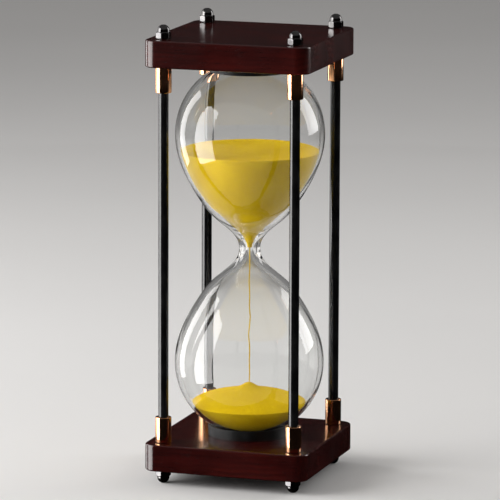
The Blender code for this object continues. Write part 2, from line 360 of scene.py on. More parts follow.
def make_lacquered_wood():
    """The grain runs along X: growth rings, streaks and open pores, all under the lacquer."""
    material, tree, shader, where = new_material(
        "mahogany_lacquer", Coat_Roughness=0.15, Coat_IOR=1.45, Specular_IOR_Level=0.06
    )
    log_place = {"Vector": where, "Location": (0, 0.055, 0.21), "Rotation": (0, 0.03, 0.02)}
    in_log = add_node(tree, "ShaderNodeMapping", log_place).outputs[0]
    rings = add_node(
        tree,
        "ShaderNodeTexWave",
        {
            "Vector": in_log,
            "Scale": math.tau / (20 * RING_SPACING),
            "Distortion": 5.0,
            "Detail": 3.0,
            "Detail Scale": 0.5,
        },
        wave_type="RINGS",
        rings_direction="X",
    ).outputs["Fac"]
    figure = noise_at(tree, where, FIGURE_SIZE, 2.0, (2.2, 1, 1))
    streaks = noise_at(tree, where, STREAK_SIZE, 3.0, (26, 1, 1))
    pores = spread(tree, noise_at(tree, where, PORE_SIZE, 1.0, (16, 1, 1)), 0.66, 0.72)
    colour = mixed(tree, spread(tree, streaks, 0.34, 0.66), DARK_WOOD, RED_WOOD)
    bright_figure = spread(tree, figure, 0.42, 0.66)
    bright_rings = spread(tree, rings, 0, 1, 0.35, 1)
    glow = sum_of(tree, bright_figure, bright_rings, "MULTIPLY")
    colour = mixed(tree, glow, colour, BRIGHT_WOOD)
    colour = mixed(tree, sum_of(tree, pores, 0.7, "MULTIPLY"), colour, PORE_WOOD)
    marks = marks_on(tree, where, smudge_size=0.02)
    colour = dusted(tree, colour, marks, 0.35)
    tree.links.new(colour, shader.inputs["Base Color"])
    tree.links.new(spread(tree, marks["Smudges"], 0, 1, 0.34, 0.46), shader.inputs["Roughness"])
    tree.links.new(spread(tree, marks["Dust"], 0, 1, 1.0, 0.4), shader.inputs["Coat Weight"])
    grain_height = sum_of(tree, sum_of(tree, pores, -0.7, "MULTIPLY"), streaks)
    bumped(tree, shader, grain_height, GRAIN_DEPTH)
    return material


def arc(centre, radius, start, end, steps):
    """Points round part of a circle, from one angle in degrees to another."""
    points = []
    for step in range(steps + 1):
        angle = math.radians(start + (end - start) * step / steps)
        points.append(Vector(centre) + radius * Vector((math.cos(angle), math.sin(angle))))
    return points


def new_piece(name, bm, material=None, sharp_angle=35):
    """Makes a plain mesh piece: doubles merged, faces outwards, round parts smooth."""
    bmesh.ops.remove_doubles(bm, verts=bm.verts, dist=1e-7)
    bmesh.ops.recalc_face_normals(bm, faces=bm.faces)
    mesh = bpy.data.meshes.new(name)
    bm.to_mesh(mesh)
    bm.free()
    mesh.shade_smooth()
    mesh.set_sharp_from_angle(angle=math.radians(sharp_angle))
    if material:
        mesh.materials.append(material)
    return new_object(name, mesh)


def plate_loop(bm, inset, height, half_side):
    """One level of a plate: its rounded square outline, so far inside the full size."""
    verts = []
    radius = PLATE_CORNER_RADIUS - inset
    for quarter in range(4):
        middle = math.radians(45 + 90 * quarter)
        centre = (half_side - PLATE_CORNER_RADIUS) * math.sqrt(2)
        centre = (centre * math.cos(middle), centre * math.sin(middle))
        for point in arc(centre, radius, 90 * quarter, 90 * quarter + 90, CORNER_STEPS):
            verts.append(bm.verts.new((point.x, point.y, height)))
    return verts


def plate_blank(name, low, high, material):
    """A plate before drilling. Its edges are rounded over, top and bottom."""
    bm = bmesh.new()
    edge = PLATE_EDGE_RADIUS
    profile = arc((edge, low + edge), edge, 270, 180, EDGE_STEPS)
    profile += arc((edge, high - edge), edge, 180, 90, EDGE_STEPS)
    loops = [plate_loop(bm, point.x, point.y, base_high.x) for point in profile]
    bm.faces.new(loops[0])
    bm.faces.new(loops[-1])
    for lower, upper in zip(loops, loops[1:]):
        for index in range(len(lower)):
            after = (index + 1) % len(lower)
            bm.faces.new((lower[index], lower[after], upper[after], upper[index]))
    return new_piece(name, bm, material)


def drill(piece, holes):
    """Takes upright round holes (x, y, radius, low, high) out of a piece."""
    bm = bmesh.new()
    for x, y, radius, low, high in holes:
        middle = Matrix.Translation((x, y, (low + high) / 2))
        bmesh.ops.create_cone(
            bm,
            cap_ends=True,
            segments=HOLE_STEPS if radius == STUD_HOLE_RADIUS else POCKET_STEPS,
            radius1=radius,
            radius2=radius,
            depth=high - low,
            matrix=middle,
        )
    cutter = new_piece("cutter", bm)
    boolean = piece.modifiers.new("holes", "BOOLEAN")
    boolean.operation = "DIFFERENCE"
    boolean.object = cutter
    piece.modifiers.new("flat_faces", "WEIGHTED_NORMAL").keep_sharp = True
    graph = bpy.context.evaluated_depsgraph_get()
    drilled = bpy.data.meshes.new_from_object(piece.evaluated_get(graph), depsgraph=graph)
    piece.modifiers.clear()
    piece.data = drilled
    bpy.data.objects.remove(cutter)


corners = {}
for corner in ("front_left", "front_right", "rear_left", "rear_right"):
    low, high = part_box("rod_" + corner)
    corners[corner] = ((low.x + high.x) / 2, (low.y + high.y) / 2)

lacquered_wood = make_lacquered_wood()
pocket_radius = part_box("seat_ring_lower")[1].x + FIT
for node, low, high, pocket_face in (
    ("base_plate", base_low.z, base_high.z, base_high.z),
    ("top_plate", top_low.z, top_high.z, top_low.z),
):
    plate = plate_blank("wood_" + node, low, high, lacquered_wood)
    start, end = low - DRILL_BEYOND, high + DRILL_BEYOND
    holes = [(x, y, STUD_HOLE_RADIUS, start, end) for x, y in corners.values()]
    holes.append((0, 0, pocket_radius, pocket_face - POCKET_DEPTH, pocket_face + POCKET_DEPTH))
    drill(plate, holes)
    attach(plate, "root")
    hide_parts(node)

# ---- Glass ---------------------------------------------------------------------------------
# Both bulbs and the neck are one piece of clear glass, blown and drawn in at the neck, where it
# is thickest. It is closed above and has its fill hole below, in the ring that it stands in.
GLASS_WALL = 0.002
FLARE_WALL = 0.0022
END_WALL = 0.0025
NECK_RADIUS = 0.0062
ORIFICE_RADIUS = 0.0015
FLARE_HEIGHT = 0.026
FLARE_INSET = 0.0166
FLARE_SLOPE = math.radians(56)
INNER_FLARE_SLOPE = math.radians(54)
NECK_PULL = 0.011
FLARE_PULL = 0.0145
WIDEST_PULL = 0.0155
SHOULDER_HEIGHT = 0.0432
END_RADIUS = 0.0085
FILL_HOLE_RADIUS = 0.0042
FILL_RIM_RADIUS = 0.0007  # of the fire-polished edges of the hole
CURVE_STEPS = 22
GLASS_STEPS = 160
LATHE_REACH = 0.01  # the radius of the circle that an outline is swept round
TINT_SIZE = 0.03
WAVE_SIZE = 0.011  # of the faint waves in blown glass
WAVE_DEPTH = 0.00006
COLOURLESS = (1.0, 1.0, 1.0, 1)
GREENISH = (0.985, 0.995, 0.985, 1)

glass_low, glass_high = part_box("glass_bulbs")
bulb_radius = glass_high.x
glass_end = (glass_high.z - glass_low.z) / 2
glass_floor = glass_end - END_WALL
widest_height = glass_end - SHOULDER_HEIGHT


def bulb_line(neck_radius, slope, wall, flare_wall, flat_height):
    """Half the outline of the glass as (radius, height) points, from the neck to where the
    bulb's end is flat: two curves out to the widest part, then an ellipse."""
    up = Vector((0, 1))
    along = Vector((math.cos(slope), math.sin(slope)))
    inwards = Vector((-math.sin(FLARE_SLOPE), math.cos(FLARE_SLOPE)))
    start = Vector((neck_radius, 0))
    flare = Vector((bulb_radius - FLARE_INSET, FLARE_HEIGHT)) + flare_wall * inwards
    widest = Vector((bulb_radius - wall, widest_height))
    count = CURVE_STEPS + 1
    throat = interpolate_bezier(start, start + NECK_PULL * up, flare - FLARE_PULL * along, flare, count)
    flank = interpolate_bezier(flare, flare + FLARE_PULL * along, widest - WIDEST_PULL * up, widest, count)
    depth = SHOULDER_HEIGHT / math.sqrt(1 - (END_RADIUS / bulb_radius) ** 2) - wall
    last_angle = math.asin((flat_height - widest_height) / depth)
    shoulder = []
    for step in range(1, 2 * CURVE_STEPS):
        angle = last_angle * step / (2 * CURVE_STEPS - 1)
        rise = Vector((widest.x * math.cos(angle), depth * math.sin(angle)))
        shoulder.append(rise + widest_height * up)
    return throat[:-1] + flank + shoulder


def make_lathe():
    """Turns a flat outline, drawn as (radius, height) in X and Y, round the Z axis."""
    tree = new_group(
        "Turn On A Lathe",
        "GeometryNodeTree",
        {
            "Outline": ("NodeSocketGeometry", None),
            "Steps": ("NodeSocketInt", 64),
            "Turned Over": ("NodeSocketBool", False),
            "Place": ("NodeSocketVector", None),
            "Finish": ("NodeSocketMaterial", None),
        },
        {"Geometry": "NodeSocketGeometry"},
    )
    given = tree.nodes.new("NodeGroupInput").outputs
    line = add_node(tree, "GeometryNodeMeshToCurve", {"Mesh": given["Outline"]}).outputs[0]
    line = add_node(
        tree,
        "GeometryNodeTransform",
        {"Geometry": line, "Translation": (-LATHE_REACH, 0, 0), "Scale": (1, -1, 1)},
    ).outputs[0]
    path = add_node(
        tree, "GeometryNodeCurvePrimitiveCircle", {"Resolution": given["Steps"], "Radius": LATHE_REACH}
    ).outputs[0]
    swept = add_node(
        tree, "GeometryNodeCurveToMesh", {"Curve": path, "Profile Curve": line}
    ).outputs[0]
    closed = add_node(
        tree, "GeometryNodeMergeByDistance", {"Geometry": swept, "Distance": 1e-6}
    ).outputs[0]
    turn = add_node(
        tree,
        "GeometryNodeSwitch",
        {"Switch": given["Turned Over"], "False": (0, 0, 0), "True": (math.pi, 0, 0)},
        input_type="VECTOR",
    ).outputs[0]
    placed = add_node(
        tree,
        "GeometryNodeTransform",
        {"Geometry": closed, "Translation": given["Place"], "Rotation": turn},
    ).outputs[0]
    whole = add_node(tree, "GeometryNodeRealizeInstances", {"Geometry": placed}).outputs[0]
    finished = add_node(
        tree, "GeometryNodeSetMaterial", {"Geometry": whole, "Material": given["Finish"]}
    ).outputs[0]
    tree.links.new(finished, tree.nodes.new("NodeGroupOutput").inputs["Geometry"])
    return tree


def grown(name, start, tree, values, sharp_angle=35):
    """Runs a Geometry Nodes tree on a mesh and keeps the result as a plain piece."""
    helper = new_object(name + "_start", start)
    modifier = helper.modifiers.new(tree.name, "NODES")
    modifier.node_group = tree
    for socket in tree.interface.items_tree:
        if socket.in_out == "INPUT" and socket.name in values:
            modifier[socket.identifier] = values[socket.name]
    graph = bpy.context.evaluated_depsgraph_get()
    result = bpy.data.meshes.new_from_object(helper.evaluated_get(graph), depsgraph=graph)
    result.name = name
    bpy.data.objects.remove(helper)
    bm = bmesh.new()
    bm.from_mesh(result)
    bmesh.ops.recalc_face_normals(bm, faces=bm.faces)
    bm.to_mesh(result)
    bm.free()
    result.shade_smooth()
    result.set_sharp_from_angle(angle=math.radians(sharp_angle))
    return new_object(name, result)


lathe = make_lathe()


def turned(name, outline, place, finish, steps=64, turned_over=False, sharp_angle=35):
    """A piece turned from a closed (radius, height) outline, standing on its place."""
    line = bpy.data.meshes.new(name)
    count = len(outline)
    edges = [(index, (index + 1) % count) for index in range(count)]
    line.from_pydata([(point[0], point[1], 0) for point in outline], edges, [])
    values = {"Steps": steps, "Turned Over": turned_over, "Place": place, "Finish": finish}
    return grown(name, line, lathe, values, sharp_angle)


def make_clear_glass():
    """Clear glass with the faint waves of blown glass. Lamps shine straight through it."""
    material, tree, shader, where = new_material(
        "clear_glass", Roughness=0.0, Transmission_Weight=1.0, IOR=1.5
    )
    tint = noise_at(tree, where, TINT_SIZE, 1.0)
    colour = mixed(tree, spread(tree, tint, 0.3, 0.7), COLOURLESS, GREENISH)
    tree.links.new(colour, shader.inputs["Base Color"])
    waves = noise_at(tree, where, WAVE_SIZE, 1.0, (1, 1, 1.8))
    bumped(tree, shader, waves, WAVE_DEPTH)
    clear = add_node(tree, "ShaderNodeBsdfTransparent")
    to_lamp = add_node(tree, "ShaderNodeLightPath").outputs["Is Shadow Ray"]
    both = {0: to_lamp, 1: shader.outputs[0], 2: clear.outputs[0]}
    passing = add_node(tree, "ShaderNodeMixShader", both)
    tree.links.new(passing.outputs[0], tree.nodes["Material Output"].inputs["Surface"])
    return material


clear_glass = make_clear_glass()
outside = bulb_line(NECK_RADIUS, FLARE_SLOPE, 0, 0, glass_end)
inside = bulb_line(ORIFICE_RADIUS, INNER_FLARE_SLOPE, GLASS_WALL, FLARE_WALL, glass_floor)
rim_centre = FILL_HOLE_RADIUS + FILL_RIM_RADIUS
outline = arc((rim_centre, FILL_RIM_RADIUS - glass_end), FILL_RIM_RADIUS, 180, 270, 5)
outline += [(point.x, -point.y) for point in reversed(outside[1:])]
outline += [(point.x, point.y) for point in outside]
outline += [(0, glass_end), (0, glass_floor)]
outline += [(point.x, point.y) for point in reversed(inside[1:])]
outline += [(point.x, -point.y) for point in inside]
outline += arc((rim_centre, -glass_floor - FILL_RIM_RADIUS), FILL_RIM_RADIUS, 90, 180, 5)
glass = turned("blown_glass", outline, (0, 0, neck_height), clear_glass, GLASS_STEPS)
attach(glass, "root")
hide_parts("glass_bulbs")

# ---- Seat rings and stopper ----------------------------------------------------------------
# A moulded black rubber ring sits in each plate's pocket, shaped to the glass that rests in it.
# A grey rubber stopper closes the fill hole, inside the lower ring.
RING_BORE_RADIUS = 0.012
RING_LIP = 0.0007
RING_LIP_ROUND = 0.0003
RING_STEPS = 112
STOPPER_FLANGE = 0.0025
STOPPER_REACH = 0.0005
STOPPER_ROUND = 0.0002
TOOTH_SIZE = 0.0003  # of the mould's fine tooth
TOOTH_DEPTH = 0.00003
BLACK_RUBBER = (0.0045, 0.0045, 0.005, 1)
WORN_RUBBER = (0.011, 0.011, 0.012, 1)
GREY_RUBBER = (0.12, 0.12, 0.125, 1)
PALE_RUBBER = (0.20, 0.20, 0.205, 1)

RADIUS, HEIGHT = 0, 1  # the two coordinates of an outline's point
ring_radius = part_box("seat_ring_lower")[1].x


def shifted(line, distance):
    """The outline moved sideways, away from the axis where the distance is positive."""
    moved = []
    for before, point, after in zip(line[:1] + line, line, line[1:] + line[-1:]):
        along = (after - before).normalized()
        moved.append(point + distance * Vector((along.y, -along.x)))
    return moved


def split(line, axis, value):
    """Both parts of an outline, ending and starting right where one coordinate passes a value."""
    for index, (point, after) in enumerate(zip(line, line[1:])):
        if min(point[axis], after[axis]) <= value < max(point[axis], after[axis]):
            share = (value - point[axis]) / (after[axis] - point[axis])
            crossing = point.lerp(after, share)
            return line[: index + 1] + [crossing], [crossing] + line[index + 1 :]
    raise ValueError("the outline doesn't reach that value")


def make_rubber(name, colour, worn_colour):
    """Moulded rubber: matt, slightly blotchy, with the fine tooth of the mould."""
    material, tree, shader, where = new_material(name, Specular_IOR_Level=0.25)
    marks = marks_on(tree, where, smudge_size=0.006, speck_size=0.0007)
    shade = mixed(tree, sum_of(tree, marks["Smudges"], 0.6, "MULTIPLY"), colour, worn_colour)
    shade = dusted(tree, shade, marks, 0.4)
    tree.links.new(shade, shader.inputs["Base Color"])
    tree.links.new(spread(tree, marks["Smudges"], 0, 1, 0.42, 0.60), shader.inputs["Roughness"])
    bumped(tree, shader, noise_at(tree, where, TOOTH_SIZE, 2.0), TOOTH_DEPTH)
    return material


shoulder = split(shifted(outside, FIT), HEIGHT, widest_height)[1]
seat = split(shoulder, RADIUS, ring_radius - RING_LIP)[1]
seat = split(seat, RADIUS, RING_BORE_RADIUS)[0]
ring_back = clear_half + POCKET_DEPTH - FIT
lip_centre = (ring_radius - RING_LIP_ROUND, seat[0].y + RING_LIP_ROUND)
outline = [(ring_radius, ring_back)]
outline += arc(lip_centre, RING_LIP_ROUND, 0, -90, 5)
outline += [(point.x, point.y) for point in seat]
outline.append((RING_BORE_RADIUS, ring_back))
black_rubber = make_rubber("black_rubber", BLACK_RUBBER, WORN_RUBBER)
for node, turned_over in (("seat_ring_upper", False), ("seat_ring_lower", True)):
    ring = turned(
        "rubber_" + node, outline, (0, 0, neck_height), black_rubber, RING_STEPS, turned_over
    )
    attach(ring, "root")
    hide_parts(node)

shank = FILL_HOLE_RADIUS - FIT
head = FILL_HOLE_RADIUS + STOPPER_FLANGE
head_bottom = base_high.z - POCKET_DEPTH + FIT
tip = neck_height - glass_floor + STOPPER_REACH
outline = [(0, head_bottom)]
outline += arc((head - STOPPER_ROUND, head_bottom + STOPPER_ROUND), STOPPER_ROUND, 270, 360, 4)
outline += arc((head - STOPPER_ROUND, base_high.z - STOPPER_ROUND), STOPPER_ROUND, 0, 90, 4)
outline += [(shank, base_high.z)]
outline += arc((shank - STOPPER_ROUND, tip - STOPPER_ROUND), STOPPER_ROUND, 0, 90, 4)
outline += [(0, tip)]
grey_rubber = make_rubber("grey_rubber", GREY_RUBBER, PALE_RUBBER)
stopper = turned("rubber_stopper", outline, (0, 0, 0), grey_rubber, 48)
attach(stopper, "root")
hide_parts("stopper")

# ---- Sand ----------------------------------------------------------------------------------
# Fine sand, dyed bright yellow. Part is still in the upper bulb, where it sinks in the middle,
# a thin stream falls through the neck, and the rest lies below in a heap with a rounded tip.
SAND_DIP = 0.003
SAND_FOOT = 0.001
HEAP_CONE = 0.0078
HEAP_TIP = 0.0021
HEAP_TIP_RADIUS = 0.005
HEAP_SKIRT = 0.002
SURFACE_STEPS = 44
SAND_STEPS = 128
SAND_UNEVENNESS = 0.00022
RIPPLES_PER_METRE = 160
FINE_RIPPLES_PER_METRE = 420
DRIFT_SIZE = 0.014  # of the patches of deeper yellow
GRAIN_TOP = 0.00012  # how far each grain stands out of the surface
GRAIN_RADIUS = 0.00021
GRAINS_PER_AREA = 1.15e6  # loose grains on each square metre of open sand
RIM_MARGIN = 0.0009  # how far the loose grains stay from the glass
STREAM_CORE_RADIUS = 0.00030
STREAM_SPREAD = 0.00034
STREAM_WANDER = 0.0007
SWAYS_PER_METRE = 90
STREAM_POINTS = 90
STREAM_GRAINS = 900
SAND_YELLOW = (0.85, 0.59, 0.002, 1)
SAND_DEEP = (0.63, 0.37, 0.001, 1)
SAND_PALE = (0.90, 0.70, 0.010, 1)


def make_sand_finish():
    """Each grain has its own shade and its own rounded top."""
    material, tree, shader, where = new_material("yellow_sand", Specular_IOR_Level=0.12)
    grains = add_node(
        tree, "ShaderNodeTexVoronoi", {"Vector": where, "Scale": 1 / (1.8 * GRAIN_RADIUS)}
    )
    tint = add_node(tree, "ShaderNodeSeparateColor", {0: grains.outputs["Color"]})
    colour = mixed(tree, spread(tree, tint.outputs[0], 0.1, 1.0, 0, 0.6), SAND_YELLOW, SAND_DEEP)
    colour = mixed(tree, spread(tree, tint.outputs[1], 0.80, 0.95), colour, SAND_PALE)
    drifts = spread(tree, noise_at(tree, where, DRIFT_SIZE, 3.0), 0.35, 0.7, 0, 0.35)
    colour = mixed(tree, drifts, colour, SAND_DEEP)
    tree.links.new(colour, shader.inputs["Base Color"])
    tree.links.new(spread(tree, tint.outputs[2], 0, 1, 0.65, 0.95), shader.inputs["Roughness"])
    tops = spread(tree, grains.outputs["Distance"], 0, 0.7, 1, 0)
    bumped(tree, shader, tops, GRAIN_TOP, 0.7)
    return material


def grain_nodes(tree, given, points):
    """Puts a small rough grain on every point, each turned and stretched its own way."""
    grain = add_node(tree, "GeometryNodeMeshIcoSphere", {"Radius": 1.0, "Subdivisions": 1}).outputs[0]
    full_turn = {"Max": (math.tau,) * 3, "Seed": given["Seed"]}
    turns = add_node(tree, "FunctionNodeRandomValue", full_turn, data_type="FLOAT_VECTOR").outputs[0]
    shape = {"Min": (0.6, 0.7, 0.8), "Max": (1.1, 1.2, 1.3), "Seed": given["Seed"]}
    shapes = add_node(tree, "FunctionNodeRandomValue", shape, data_type="FLOAT_VECTOR").outputs[0]
    sizes = add_node(
        tree,
        "ShaderNodeVectorMath",
        {0: shapes, "Scale": given["Grain Radius"]},
        operation="SCALE",
    ).outputs[0]
    inputs = {"Points": points, "Instance": grain, "Rotation": turns, "Scale": sizes}
    return add_node(tree, "GeometryNodeInstanceOnPoints", inputs).outputs[0]


def finish_nodes(tree, given, parts):
    """Joins the parts, makes them real and gives them their finish."""
    joined = add_node(tree, "GeometryNodeJoinGeometry")
    for part in parts:
        tree.links.new(part, joined.inputs[0])
    whole = add_node(tree, "GeometryNodeRealizeInstances", {"Geometry": joined.outputs[0]}).outputs[0]
    finished = add_node(
        tree, "GeometryNodeSetMaterial", {"Geometry": whole, "Material": given["Finish"]}
    ).outputs[0]
    tree.links.new(finished, tree.nodes.new("NodeGroupOutput").inputs["Geometry"])


def make_grain_scatter():
    """Loose grains on the open surface of a body of sand, not where it lies against the glass."""
    tree = new_group(
        "Loose Grains",
        "GeometryNodeTree",
        {
            "Sand": ("NodeSocketGeometry", None),
            "Density": ("NodeSocketFloat", 1e6),
            "Reach": ("NodeSocketFloat", 0.04),
            "Lowest": ("NodeSocketFloat", 0.0),
            "Grain Radius": ("NodeSocketFloat", 0.0002),
            "Seed": ("NodeSocketInt", 0),
            "Finish": ("NodeSocketMaterial", None),
        },
        {"Geometry": "NodeSocketGeometry"},
    )
    given = tree.nodes.new("NodeGroupInput").outputs
    place = add_node(tree, "GeometryNodeInputPosition").outputs[0]
    parts = add_node(tree, "ShaderNodeSeparateXYZ", {0: place}).outputs
    flat = add_node(tree, "ShaderNodeCombineXYZ", {0: parts[0], 1: parts[1]}).outputs[0]
    out = add_node(tree, "ShaderNodeVectorMath", {0: flat}, operation="LENGTH").outputs["Value"]
    within = add_node(
        tree, "FunctionNodeCompare", {0: out, 1: given["Reach"]}, operation="LESS_THAN"
    ).outputs[0]
    above = add_node(
        tree, "FunctionNodeCompare", {0: parts[2], 1: given["Lowest"]}, operation="GREATER_THAN"
    ).outputs[0]
    open_sand = add_node(tree, "FunctionNodeBooleanMath", {0: within, 1: above}).outputs[0]
    points = add_node(
        tree,
        "GeometryNodeDistributePointsOnFaces",
        {
            "Mesh": given["Sand"],
            "Selection": open_sand,
            "Density": given["Density"],
            "Seed": given["Seed"],
        },
    ).outputs[0]
    finish_nodes(tree, given, [given["Sand"], grain_nodes(tree, given, points)])
    return tree


def make_stream():
    """Sand that falls along a path: a thin core with single grains all round it."""
    tree = new_group(
        "Falling Sand",
        "GeometryNodeTree",
        {
            "Path": ("NodeSocketGeometry", None),
            "Core Radius": ("NodeSocketFloat", 0.0004),
            "Spread": ("NodeSocketFloat", 0.0004),
            "Grains": ("NodeSocketInt", 900),
            "Grain Radius": ("NodeSocketFloat", 0.0002),
            "Seed": ("NodeSocketInt", 0),
            "Finish": ("NodeSocketMaterial", None),
        },
        {"Geometry": "NodeSocketGeometry"},
    )
    given = tree.nodes.new("NodeGroupInput").outputs
    path = add_node(tree, "GeometryNodeMeshToCurve", {"Mesh": given["Path"]}).outputs[0]
    section = add_node(
        tree, "GeometryNodeCurvePrimitiveCircle", {"Resolution": 12, "Radius": given["Core Radius"]}
    ).outputs[0]
    core = add_node(
        tree, "GeometryNodeCurveToMesh", {"Curve": path, "Profile Curve": section, "Fill Caps": True}
    ).outputs[0]
    steps = {"Curve": path, "Count": given["Grains"]}
    points = add_node(tree, "GeometryNodeCurveToPoints", steps, mode="COUNT").outputs[0]
    least = add_node(
        tree, "ShaderNodeVectorMath", {0: (-1, -1, -0.3), "Scale": given["Spread"]}, operation="SCALE"
    ).outputs[0]
    most = add_node(
        tree, "ShaderNodeVectorMath", {0: (1, 1, 0.3), "Scale": given["Spread"]}, operation="SCALE"
    ).outputs[0]
    stray = add_node(
        tree,
        "FunctionNodeRandomValue",
        {"Min": least, "Max": most, "Seed": given["Seed"]},
        data_type="FLOAT_VECTOR",
    ).outputs[0]
    points = add_node(tree, "GeometryNodeSetPosition", {"Geometry": points, "Offset": stray}).outputs[0]
    finish_nodes(tree, given, [core, grain_nodes(tree, given, points)])
    return tree


def sand_surface(rim, height_at):
    """Points from just inside the rim to the axis, closer together towards the middle."""
    points = []
    for step in range(SURFACE_STEPS - 1, -1, -1):
        share = (step / SURFACE_STEPS) ** 1.2
        points.append((share * rim, height_at(share)))
    return points


def settled(mesh, rim, lowest):
    """Makes the open surface a little uneven, less and less towards the glass."""
    for vert in mesh.vertices:
        share = min(1.0, math.hypot(vert.co.x, vert.co.y) / rim)
        if vert.co.z > lowest and share < 1.0:
            ripple = noise.noise(vert.co * RIPPLES_PER_METRE)
            ripple += 0.5 * noise.noise(vert.co * FINE_RIPPLES_PER_METRE)
            vert.co.z += SAND_UNEVENNESS * ripple * (1 - share**8)


yellow_sand = make_sand_finish()
loose_grains = make_grain_scatter()
sand_limit = shifted(inside, -FIT)

sand_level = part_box("sand_upper")[1].z - neck_height
walls = split(split(sand_limit, HEIGHT, SAND_FOOT)[1], HEIGHT, sand_level)[0]
rim = walls[-1].x
outline = [(0, SAND_FOOT)] + [(point.x, point.y) for point in walls]
outline += sand_surface(rim, lambda share: sand_level - SAND_DIP * (1 - share**2))
body = turned("upper", outline, (0, 0, neck_height), yellow_sand, SAND_STEPS)
lowest = neck_height + sand_level - SAND_DIP - 2 * SAND_UNEVENNESS
settled(body.data, rim, lowest)
grain_values = {
    "Density": GRAINS_PER_AREA,
    "Reach": rim - RIM_MARGIN,
    "Lowest": lowest,
    "Grain Radius": GRAIN_RADIUS,
    "Seed": 3,
    "Finish": yellow_sand,
}
sand = grown("sand_in_upper_bulb", body.data, loose_grains, grain_values)
bpy.data.objects.remove(body)
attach(sand, "root")
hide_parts("sand_upper")

bed = glass_floor - STOPPER_REACH - FIT
heap_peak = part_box("sand_heap")[1].z - neck_height
rim_height = HEAP_CONE + HEAP_TIP + HEAP_SKIRT - heap_peak
walls = split(split(sand_limit, HEIGHT, rim_height)[1], HEIGHT, bed)[0]
rim = walls[0].x


def heap_height(share):
    """The heap's surface: a cone whose tip is rounded, and which steepens at the glass."""
    tip_rise = HEAP_TIP * math.exp(-((share * rim / HEAP_TIP_RADIUS) ** 2))
    return HEAP_CONE * (1 - share) + tip_rise + HEAP_SKIRT * (1 - share**6) - rim_height


outline = [(0, -bed)] + [(point.x, -point.y) for point in reversed(walls)]
outline += sand_surface(rim, heap_height)
body = turned("heap", outline, (0, 0, neck_height), yellow_sand, SAND_STEPS)
settled(body.data, rim, neck_height - rim_height)
grain_values["Reach"] = rim - RIM_MARGIN
grain_values["Lowest"] = neck_height - rim_height
grain_values["Seed"] = 5
sand = grown("sand_heap_below", body.data, loose_grains, grain_values)
bpy.data.objects.remove(body)
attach(sand, "root")
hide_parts("sand_heap")

stream_low, stream_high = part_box("sand_stream")
path = bpy.data.meshes.new("stream_path")
path_points = []
for index in range(STREAM_POINTS + 1):
    share = index / STREAM_POINTS
    z = stream_high.z + share * (stream_low.z - stream_high.z)
    drift = STREAM_WANDER * min(1.0, 3 * share)
    x = drift * noise.noise(Vector((2.0, 0, SWAYS_PER_METRE * z)))
    y = drift * noise.noise(Vector((7.0, 0, SWAYS_PER_METRE * z)))
    path_points.append((x, y, z))
path.from_pydata(path_points, [(index, index + 1) for index in range(STREAM_POINTS)], [])
stream_values = {
    "Core Radius": STREAM_CORE_RADIUS,
    "Spread": STREAM_SPREAD,
    "Grains": STREAM_GRAINS,
    "Grain Radius": 0.75 * GRAIN_RADIUS,
    "Seed": 7,
    "Finish": yellow_sand,
}
stream = grown("falling_sand", path, make_stream(), stream_values)
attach(stream, "root")
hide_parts("sand_stream")

# ---- Rods ----------------------------------------------------------------------------------
# Four steel rods, lacquered gloss black. Each is turned down at both ends to a stud that goes
# through its plate and into a nut; the shoulders between hold the plates apart.
ROD_RADIUS = 0.003
STUD_RADIUS = 0.0025
ROD_CHAMFER = 0.0002
ROD_STEPS = 48
DRAW_LINE_SIZE = 0.0004  # of the lines that drawing left along the steel
DRAW_LINE_DEPTH = 0.00002
BLACK_LACQUER = (0.0035, 0.0035, 0.0040, 1)
RUBBED_LACQUER = (0.009, 0.009, 0.0095, 1)


def worn_gloss(tree, marks, clean, smudged, scratched):
    """The roughness of a polished surface: greater in smudges, with more added along scratches."""
    smudges = spread(tree, marks["Smudges"], 0, 1, clean, smudged)
    scratches = sum_of(tree, marks["Scratches"], scratched, "MULTIPLY")
    return sum_of(tree, smudges, scratches)


def make_black_lacquer():
    """Gloss black lacquer: faint lines along the drawn steel, a little greyer where rubbed."""
    material, tree, shader, where = new_material("black_lacquered_rod", Specular_IOR_Level=0.5)
    marks = marks_on(tree, where, smudge_size=0.009, speck_size=0.0009)
    colour = mixed(tree, marks["Smudges"], BLACK_LACQUER, RUBBED_LACQUER)
    colour = dusted(tree, colour, marks, 0.35)
    tree.links.new(colour, shader.inputs["Base Color"])
    rough = worn_gloss(tree, marks, clean=0.11, smudged=0.2, scratched=0.06)
    tree.links.new(rough, shader.inputs["Roughness"])
    drawn = noise_at(tree, where, DRAW_LINE_SIZE, 2.0, (1, 1, 45))
    bumped(tree, shader, drawn, DRAW_LINE_DEPTH, 0.5)
    return material


black_lacquer = make_black_lacquer()
rod_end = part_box("rod_front_left")[1].z - neck_height
shoulder_height = clear_half - FIT
half = [
    (ROD_RADIUS, shoulder_height - ROD_CHAMFER),
    (ROD_RADIUS - ROD_CHAMFER, shoulder_height),
    (STUD_RADIUS, shoulder_height),
    (STUD_RADIUS, rod_end - ROD_CHAMFER),
    (STUD_RADIUS - ROD_CHAMFER, rod_end),
    (0, rod_end),
]
outline = half + [(radius, -height) for radius, height in reversed(half)]
for corner, (x, y) in corners.items():
    rod = turned("steel_rod_" + corner, outline, (x, y, neck_height), black_lacquer, ROD_STEPS)
    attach(rod, "root")
    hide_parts("rod_" + corner)

# ---- Ferrules ------------------------------------------------------------------------------
# Eight sleeves of rose-coloured brass, turned and polished, one round each end of each rod and
# standing on its plate. The open end is rounded over and catches the light.
FERRULE_RADIUS = 0.00475
FERRULE_BORE = 0.0033
FERRULE_EDGE = 0.0004
FERRULE_FOOT_EDGE = 0.0002
FERRULE_STEPS = 72
TONE_SIZE = 0.004
LATHE_MARK_SIZE = 0.00012
LATHE_MARK_DEPTH = 0.000004
ROSE_BRASS = (0.84, 0.46, 0.26, 1)
DEEP_BRASS = (0.70, 0.31, 0.13, 1)


